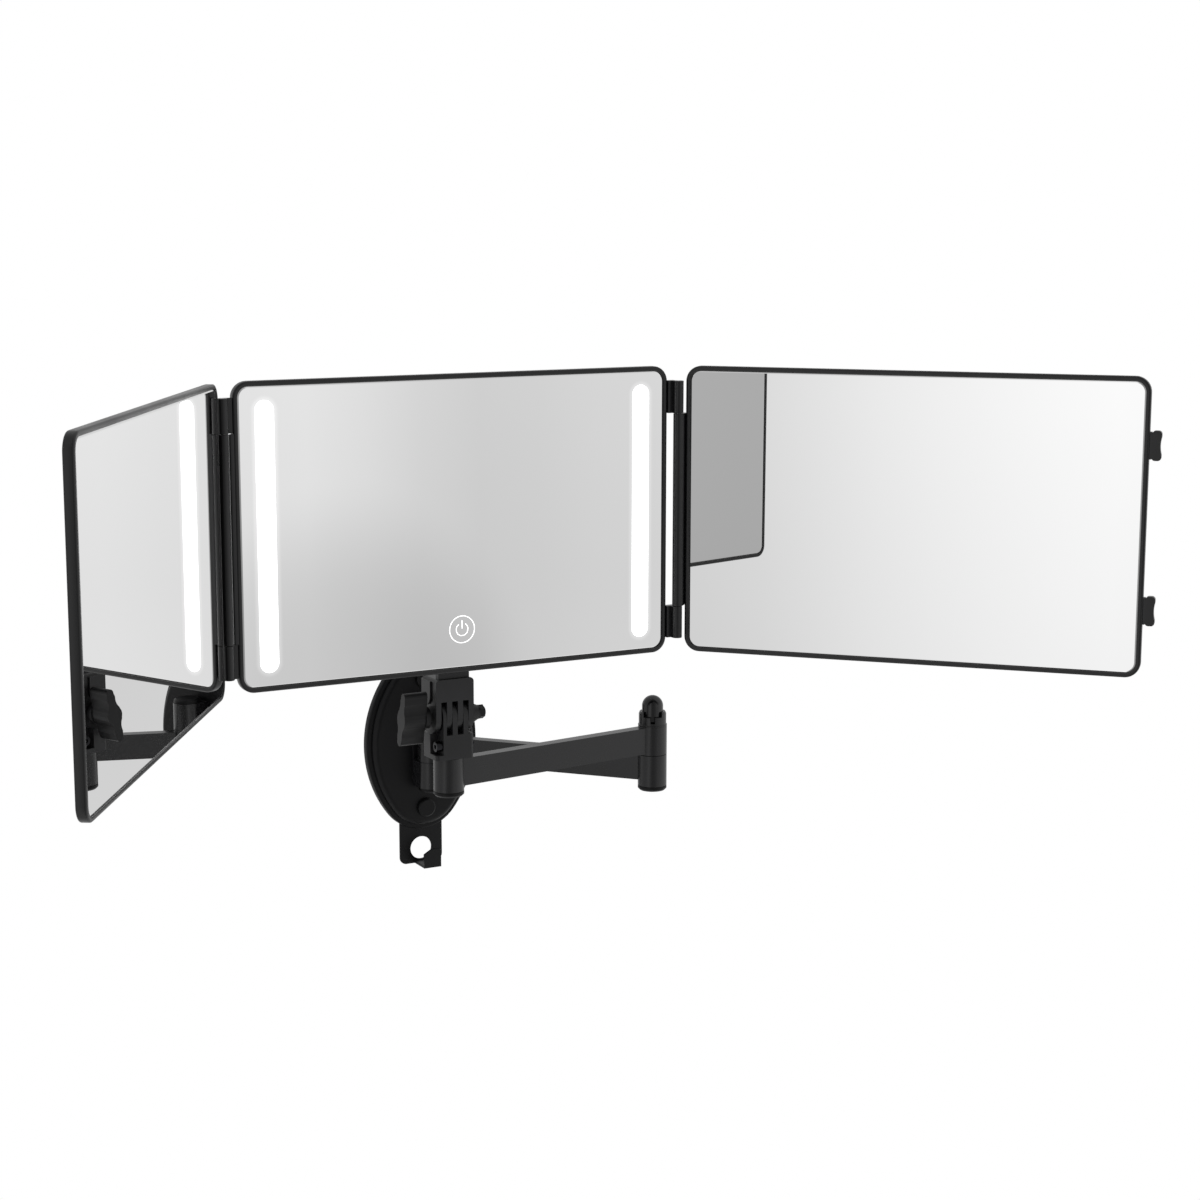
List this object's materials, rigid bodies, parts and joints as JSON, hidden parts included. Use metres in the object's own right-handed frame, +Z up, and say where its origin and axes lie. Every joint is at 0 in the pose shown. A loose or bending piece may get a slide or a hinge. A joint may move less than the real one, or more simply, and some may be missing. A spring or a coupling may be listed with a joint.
{
  "type": "trifold wall mirror",
  "caption": "Three hinged lit mirror panels on an interleaved tilt head, carried by a folding double swing arm on an oval wall plate with a hook.",
  "frame": {"origin": "centre of the wall plate's back face, on the wall", "axes": "+X along the wall to the viewer's right, +Y into the wall, +Z up; the object stands on the -Y side"},
  "size_m": [0.8395, 0.5403, 0.4455],
  "materials": {
    "black_abs": "fine-grain moulded ABS",
    "frame_black": "satin moulded ABS",
    "back_black": "fine-grain moulded ABS",
    "arm_black": "satin powder coat",
    "cast_black": "satin powder coat on a casting",
    "steel_black": "satin powder coat",
    "steel": "bright zinc plating",
    "knob_black": "moulded nylon",
    "dome_black": "polished moulding",
    "mirror_glass": "silvered",
    "opal_white": "opal acrylic",
    "circuit_board": "solder mask",
    "battery_wrap": "shrink sleeve",
    "touch_foil": "bare copper foil"
  },
  "bodies": {
    "wall_base": {"wall_plate": "black_abs", "wall_cover": "black_abs", "hook_bracket": "steel_black", "wall_screws": "steel", "screw_caps": "black_abs", "pivot_bracket": "arm_black", "wall_pivot_pin": "steel", "pivot_caps": "black_abs"},
    "rear_arm": {"rear_arm": "arm_black"},
    "front_arm": {"front_arm": "arm_black", "elbow_pin": "steel", "elbow_collar": "arm_black", "dome_cap": "dome_black", "elbow_end_cap": "black_abs"},
    "swivel_head": {"swivel_block": "cast_black", "swivel_post": "steel", "swivel_end_cap": "black_abs", "clamp_screw": "steel"},
    "mirror_head": {"tilt_block": "cast_black", "tilt_nut": "steel_black", "bracket_plate": "steel_black", "bracket_screws": "steel", "neck_screws": "steel", "center_frame": "frame_black", "center_back": "back_black", "center_glass": "mirror_glass", "led_diffusers": "opal_white", "led_boards": "circuit_board", "control_board": "circuit_board", "battery_pack": "battery_wrap", "touch_pad": "touch_foil", "charge_socket": "steel", "left_hinge_knuckles": "frame_black", "left_hinge_pin": "steel", "right_hinge_knuckles": "frame_black", "right_hinge_pin": "steel"},
    "tilt_knob": {"tilt_knob": "knob_black", "tilt_bolt": "steel"},
    "left_panel": {"left_frame": "frame_black", "left_glass": "mirror_glass", "left_back": "back_black", "left_hinge_barrel": "frame_black"},
    "right_panel": {"right_frame": "frame_black", "right_glass": "mirror_glass", "right_back": "back_black", "right_hinge_barrel": "frame_black", "snap_clips": "frame_black"}
  },
  "joints": [
    {"name": "wall_swing", "type": "hinge", "parent": "wall_base", "child": "rear_arm", "pos_m": [0, -0.026, 0], "axis": [0, 0, 1], "range_deg": [-110, 40]},
    {"name": "elbow_swing", "type": "hinge", "parent": "rear_arm", "child": "front_arm", "pos_m": [0.13397, -0.17584, 0], "axis": [0, 0, 1], "range_deg": [-25, 165]},
    {"name": "head_swivel", "type": "hinge", "parent": "front_arm", "child": "swivel_head", "pos_m": [-0.06497, -0.20451, 0], "axis": [0, 0, 1], "range_deg": [-150, 150]},
    {"name": "head_tilt", "type": "hinge", "parent": "swivel_head", "child": "mirror_head", "pos_m": [-0.06497, -0.20451, 0.069], "axis": [1, 0, 0], "range_deg": [-40, 35]},
    {"name": "tilt_knob_turn", "type": "hinge", "parent": "mirror_head", "child": "tilt_knob", "pos_m": [-0.06497, -0.20451, 0.069], "axis": [1, 0, 0], "range_deg": [-120, 120]},
    {"name": "left_fold", "type": "hinge", "parent": "mirror_head", "child": "left_panel", "pos_m": [-0.25177, -0.23201, 0.222], "axis": [0, 0, 1], "range_deg": [-58, 122]},
    {"name": "right_fold", "type": "hinge", "parent": "mirror_head", "child": "right_panel", "pos_m": [0.12153, -0.23651, 0.222], "axis": [0, 0, -1], "range_deg": [-46, 134]}
  ]
}
